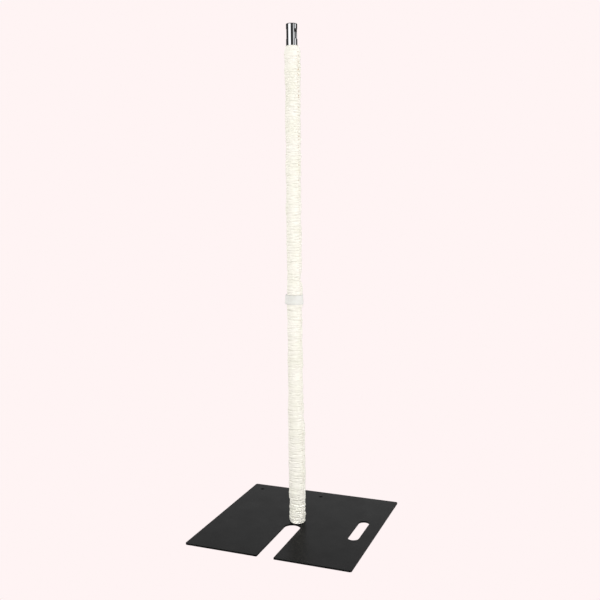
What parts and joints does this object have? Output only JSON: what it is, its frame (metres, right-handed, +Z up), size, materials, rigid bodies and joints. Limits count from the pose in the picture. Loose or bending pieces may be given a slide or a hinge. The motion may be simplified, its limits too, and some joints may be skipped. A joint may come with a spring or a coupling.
{
  "type": "telescoping pole stand",
  "caption": "Telescoping upright on a slotted square steel base, clothed in gathered off-white fabric sleeves, with a bare chromed top that has crossbar windows.",
  "frame": {"origin": "centre of the base plate's underside, on the floor", "axes": "+Z up along the pole; -Y is the front, where the stacking slot opens; +X is the side with the hand-hold"},
  "size_m": [0.5, 0.5, 1.4706],
  "materials": {
    "plate_coating": "satin black powder coat",
    "turned_steel": "turned",
    "zinc_steel": "zinc plated",
    "white_nylon": "plain",
    "zinc_tube": "zinc plated",
    "black_plastic": "moulded, fine texture",
    "collar_alloy": "tumbled casting",
    "black_steel": "black oxide",
    "knob_plastic": "moulded",
    "chrome_tube": "polished chrome plate",
    "sleeve_cloth": "gathered satin-like polyester, off-white",
    "hem_cloth": "turned hem of the same cloth",
    "cuff_cloth": "smooth folded band, off-white",
    "elastic": "woven elastic"
  },
  "bodies": {
    "base": {"base_plate": "plate_coating", "base_pin": "turned_steel", "pin_bolt": "zinc_steel"},
    "washer": {"thrust_washer": "white_nylon"},
    "lower_pole": {"outer_tube": "zinc_tube", "mouth_bush": "black_plastic", "lock_collar": "collar_alloy", "collar_set_screws": "black_steel", "lower_sleeve": "sleeve_cloth", "lower_seam_tape": "elastic", "lower_sleeve_hem": "hem_cloth", "lower_hem_elastic": "elastic", "lower_sleeve_cuff": "cuff_cloth", "lower_cuff_elastic": "elastic"},
    "slider": {"guide_bush": "black_plastic"},
    "upper_pole": {"inner_tube": "chrome_tube", "top_plug": "black_plastic", "upper_sleeve": "sleeve_cloth", "upper_seam_tape": "elastic", "upper_sleeve_cuff": "hem_cloth", "upper_cuff_elastic": "elastic"},
    "clamp_pad": {"pressure_pad": "white_nylon"},
    "clamp_knob": {"lock_screw": "zinc_steel", "lock_knob": "knob_plastic"}
  },
  "joints": [
    {"name": "upright_spin", "type": "hinge", "parent": "base", "child": "washer", "pos_m": [0, 0, 0.006], "axis": [0, 0, 1], "continuous": true},
    {"name": "upright_lift", "type": "slide", "parent": "washer", "child": "lower_pole", "axis": [0, 0, 1], "range_m": [0, 0.135]},
    {"name": "tube_height", "type": "slide", "parent": "lower_pole", "child": "slider", "axis": [0, 0, 1], "range_m": [-0.4, 0], "deforming": ["upper_sleeve", "upper_seam_tape"]},
    {"name": "tube_turn", "type": "hinge", "parent": "slider", "child": "upper_pole", "pos_m": [0, 0, 0.61], "axis": [0, 0, 1], "continuous": true},
    {"name": "lock_screw_travel", "type": "slide", "parent": "lower_pole", "child": "clamp_pad", "axis": [-1, 0, 0], "range_m": [0, 0.001]},
    {"name": "lock_knob_turn", "type": "hinge", "parent": "clamp_pad", "child": "clamp_knob", "pos_m": [-0.026, 0, 0.686], "axis": [-1, 0, 0], "range_deg": [0, 360]}
  ],
  "couplings": [
    {"joint": "lock_knob_turn", "follows": "lock_screw_travel", "rad_per_m": 6283}
  ]
}
